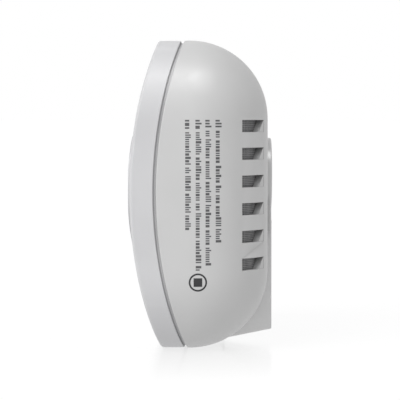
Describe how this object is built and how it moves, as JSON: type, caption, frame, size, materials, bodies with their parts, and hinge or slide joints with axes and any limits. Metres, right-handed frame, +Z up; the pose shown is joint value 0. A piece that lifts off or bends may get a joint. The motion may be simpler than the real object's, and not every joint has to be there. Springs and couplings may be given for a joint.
{
  "type": "smoke detector",
  "caption": "Wall-mounted smoke detector: domed square head with side vents, test button and battery door, on a twist-off mounting plate.",
  "frame": {"origin": "centre of the mounting plate's wall face", "axes": "+X out of the wall towards the domed front, +Z up, +Y to the right of a person who faces the wall"},
  "size_m": [0.0492, 0.1034, 0.1034],
  "materials": {
    "cover_plastic": "fine satin texture",
    "base_plastic": "fine satin texture",
    "dark_plastic": "matt black",
    "inner_plastic": "plain moulded",
    "screen_mesh": "woven screen",
    "board_laminate": "solder mask",
    "lens_black": "dark infrared epoxy",
    "clear_plastic": "polished",
    "plated_steel": "nickel plated",
    "can_aluminium": "satin",
    "disc_brass": "satin",
    "cell_wrap": "shrink sleeve",
    "component_body": "ferrite and ceramic"
  },
  "bodies": {
    "plate": {"mounting_plate": "base_plastic"},
    "button": {"test_button": "cover_plastic"},
    "switch_stem": {"switch_plunger": "inner_plastic"},
    "door": {"battery_door": "cover_plastic"},
    "head": {"front_cover": "cover_plastic", "base_tray": "base_plastic", "smoke_chamber_base": "dark_plastic", "smoke_chamber_cap": "dark_plastic", "switch_body": "dark_plastic", "microcontroller": "dark_plastic", "battery_bay": "inner_plastic", "sounder_housing": "inner_plastic", "vent_screens": "screen_mesh", "insect_screen": "screen_mesh", "circuit_board": "board_laminate", "radio_board": "board_laminate", "infrared_emitter": "lens_black", "photodiode": "lens_black", "light_pipe": "clear_plastic", "status_light": "clear_plastic", "board_screws": "plated_steel", "cover_screws": "plated_steel", "bay_screws": "plated_steel", "door_hinge_pin": "plated_steel", "positive_contact": "plated_steel", "negative_contact": "plated_steel", "radio_shield": "plated_steel", "sounder_contacts": "plated_steel", "capacitors": "can_aluminium", "piezo_disc": "disc_brass", "battery_cell": "cell_wrap", "sounder_coil": "component_body", "resistors": "component_body"}
  },
  "joints": [
    {"name": "head_twist", "type": "hinge", "parent": "plate", "child": "head", "pos_m": [0, 0, 0], "axis": [1, 0, 0], "range_deg": [0, 25]},
    {"name": "button_press", "type": "slide", "parent": "head", "child": "button", "axis": [-1, 0, 0], "range_m": [0, 0.0008], "stiffness_N_per_m": 1500, "springref_m": -0.0004},
    {"name": "stem_press", "type": "slide", "parent": "head", "child": "switch_stem", "axis": [-1, 0, 0], "range_m": [0, 0.0008]},
    {"name": "door_swing", "type": "hinge", "parent": "head", "child": "door", "pos_m": [0.04635, 0, -0.0101], "axis": [0, -1, 0], "range_deg": [0, 100]}
  ],
  "couplings": [
    {"joint": "stem_press", "follows": "button_press", "ratio": 1}
  ]
}
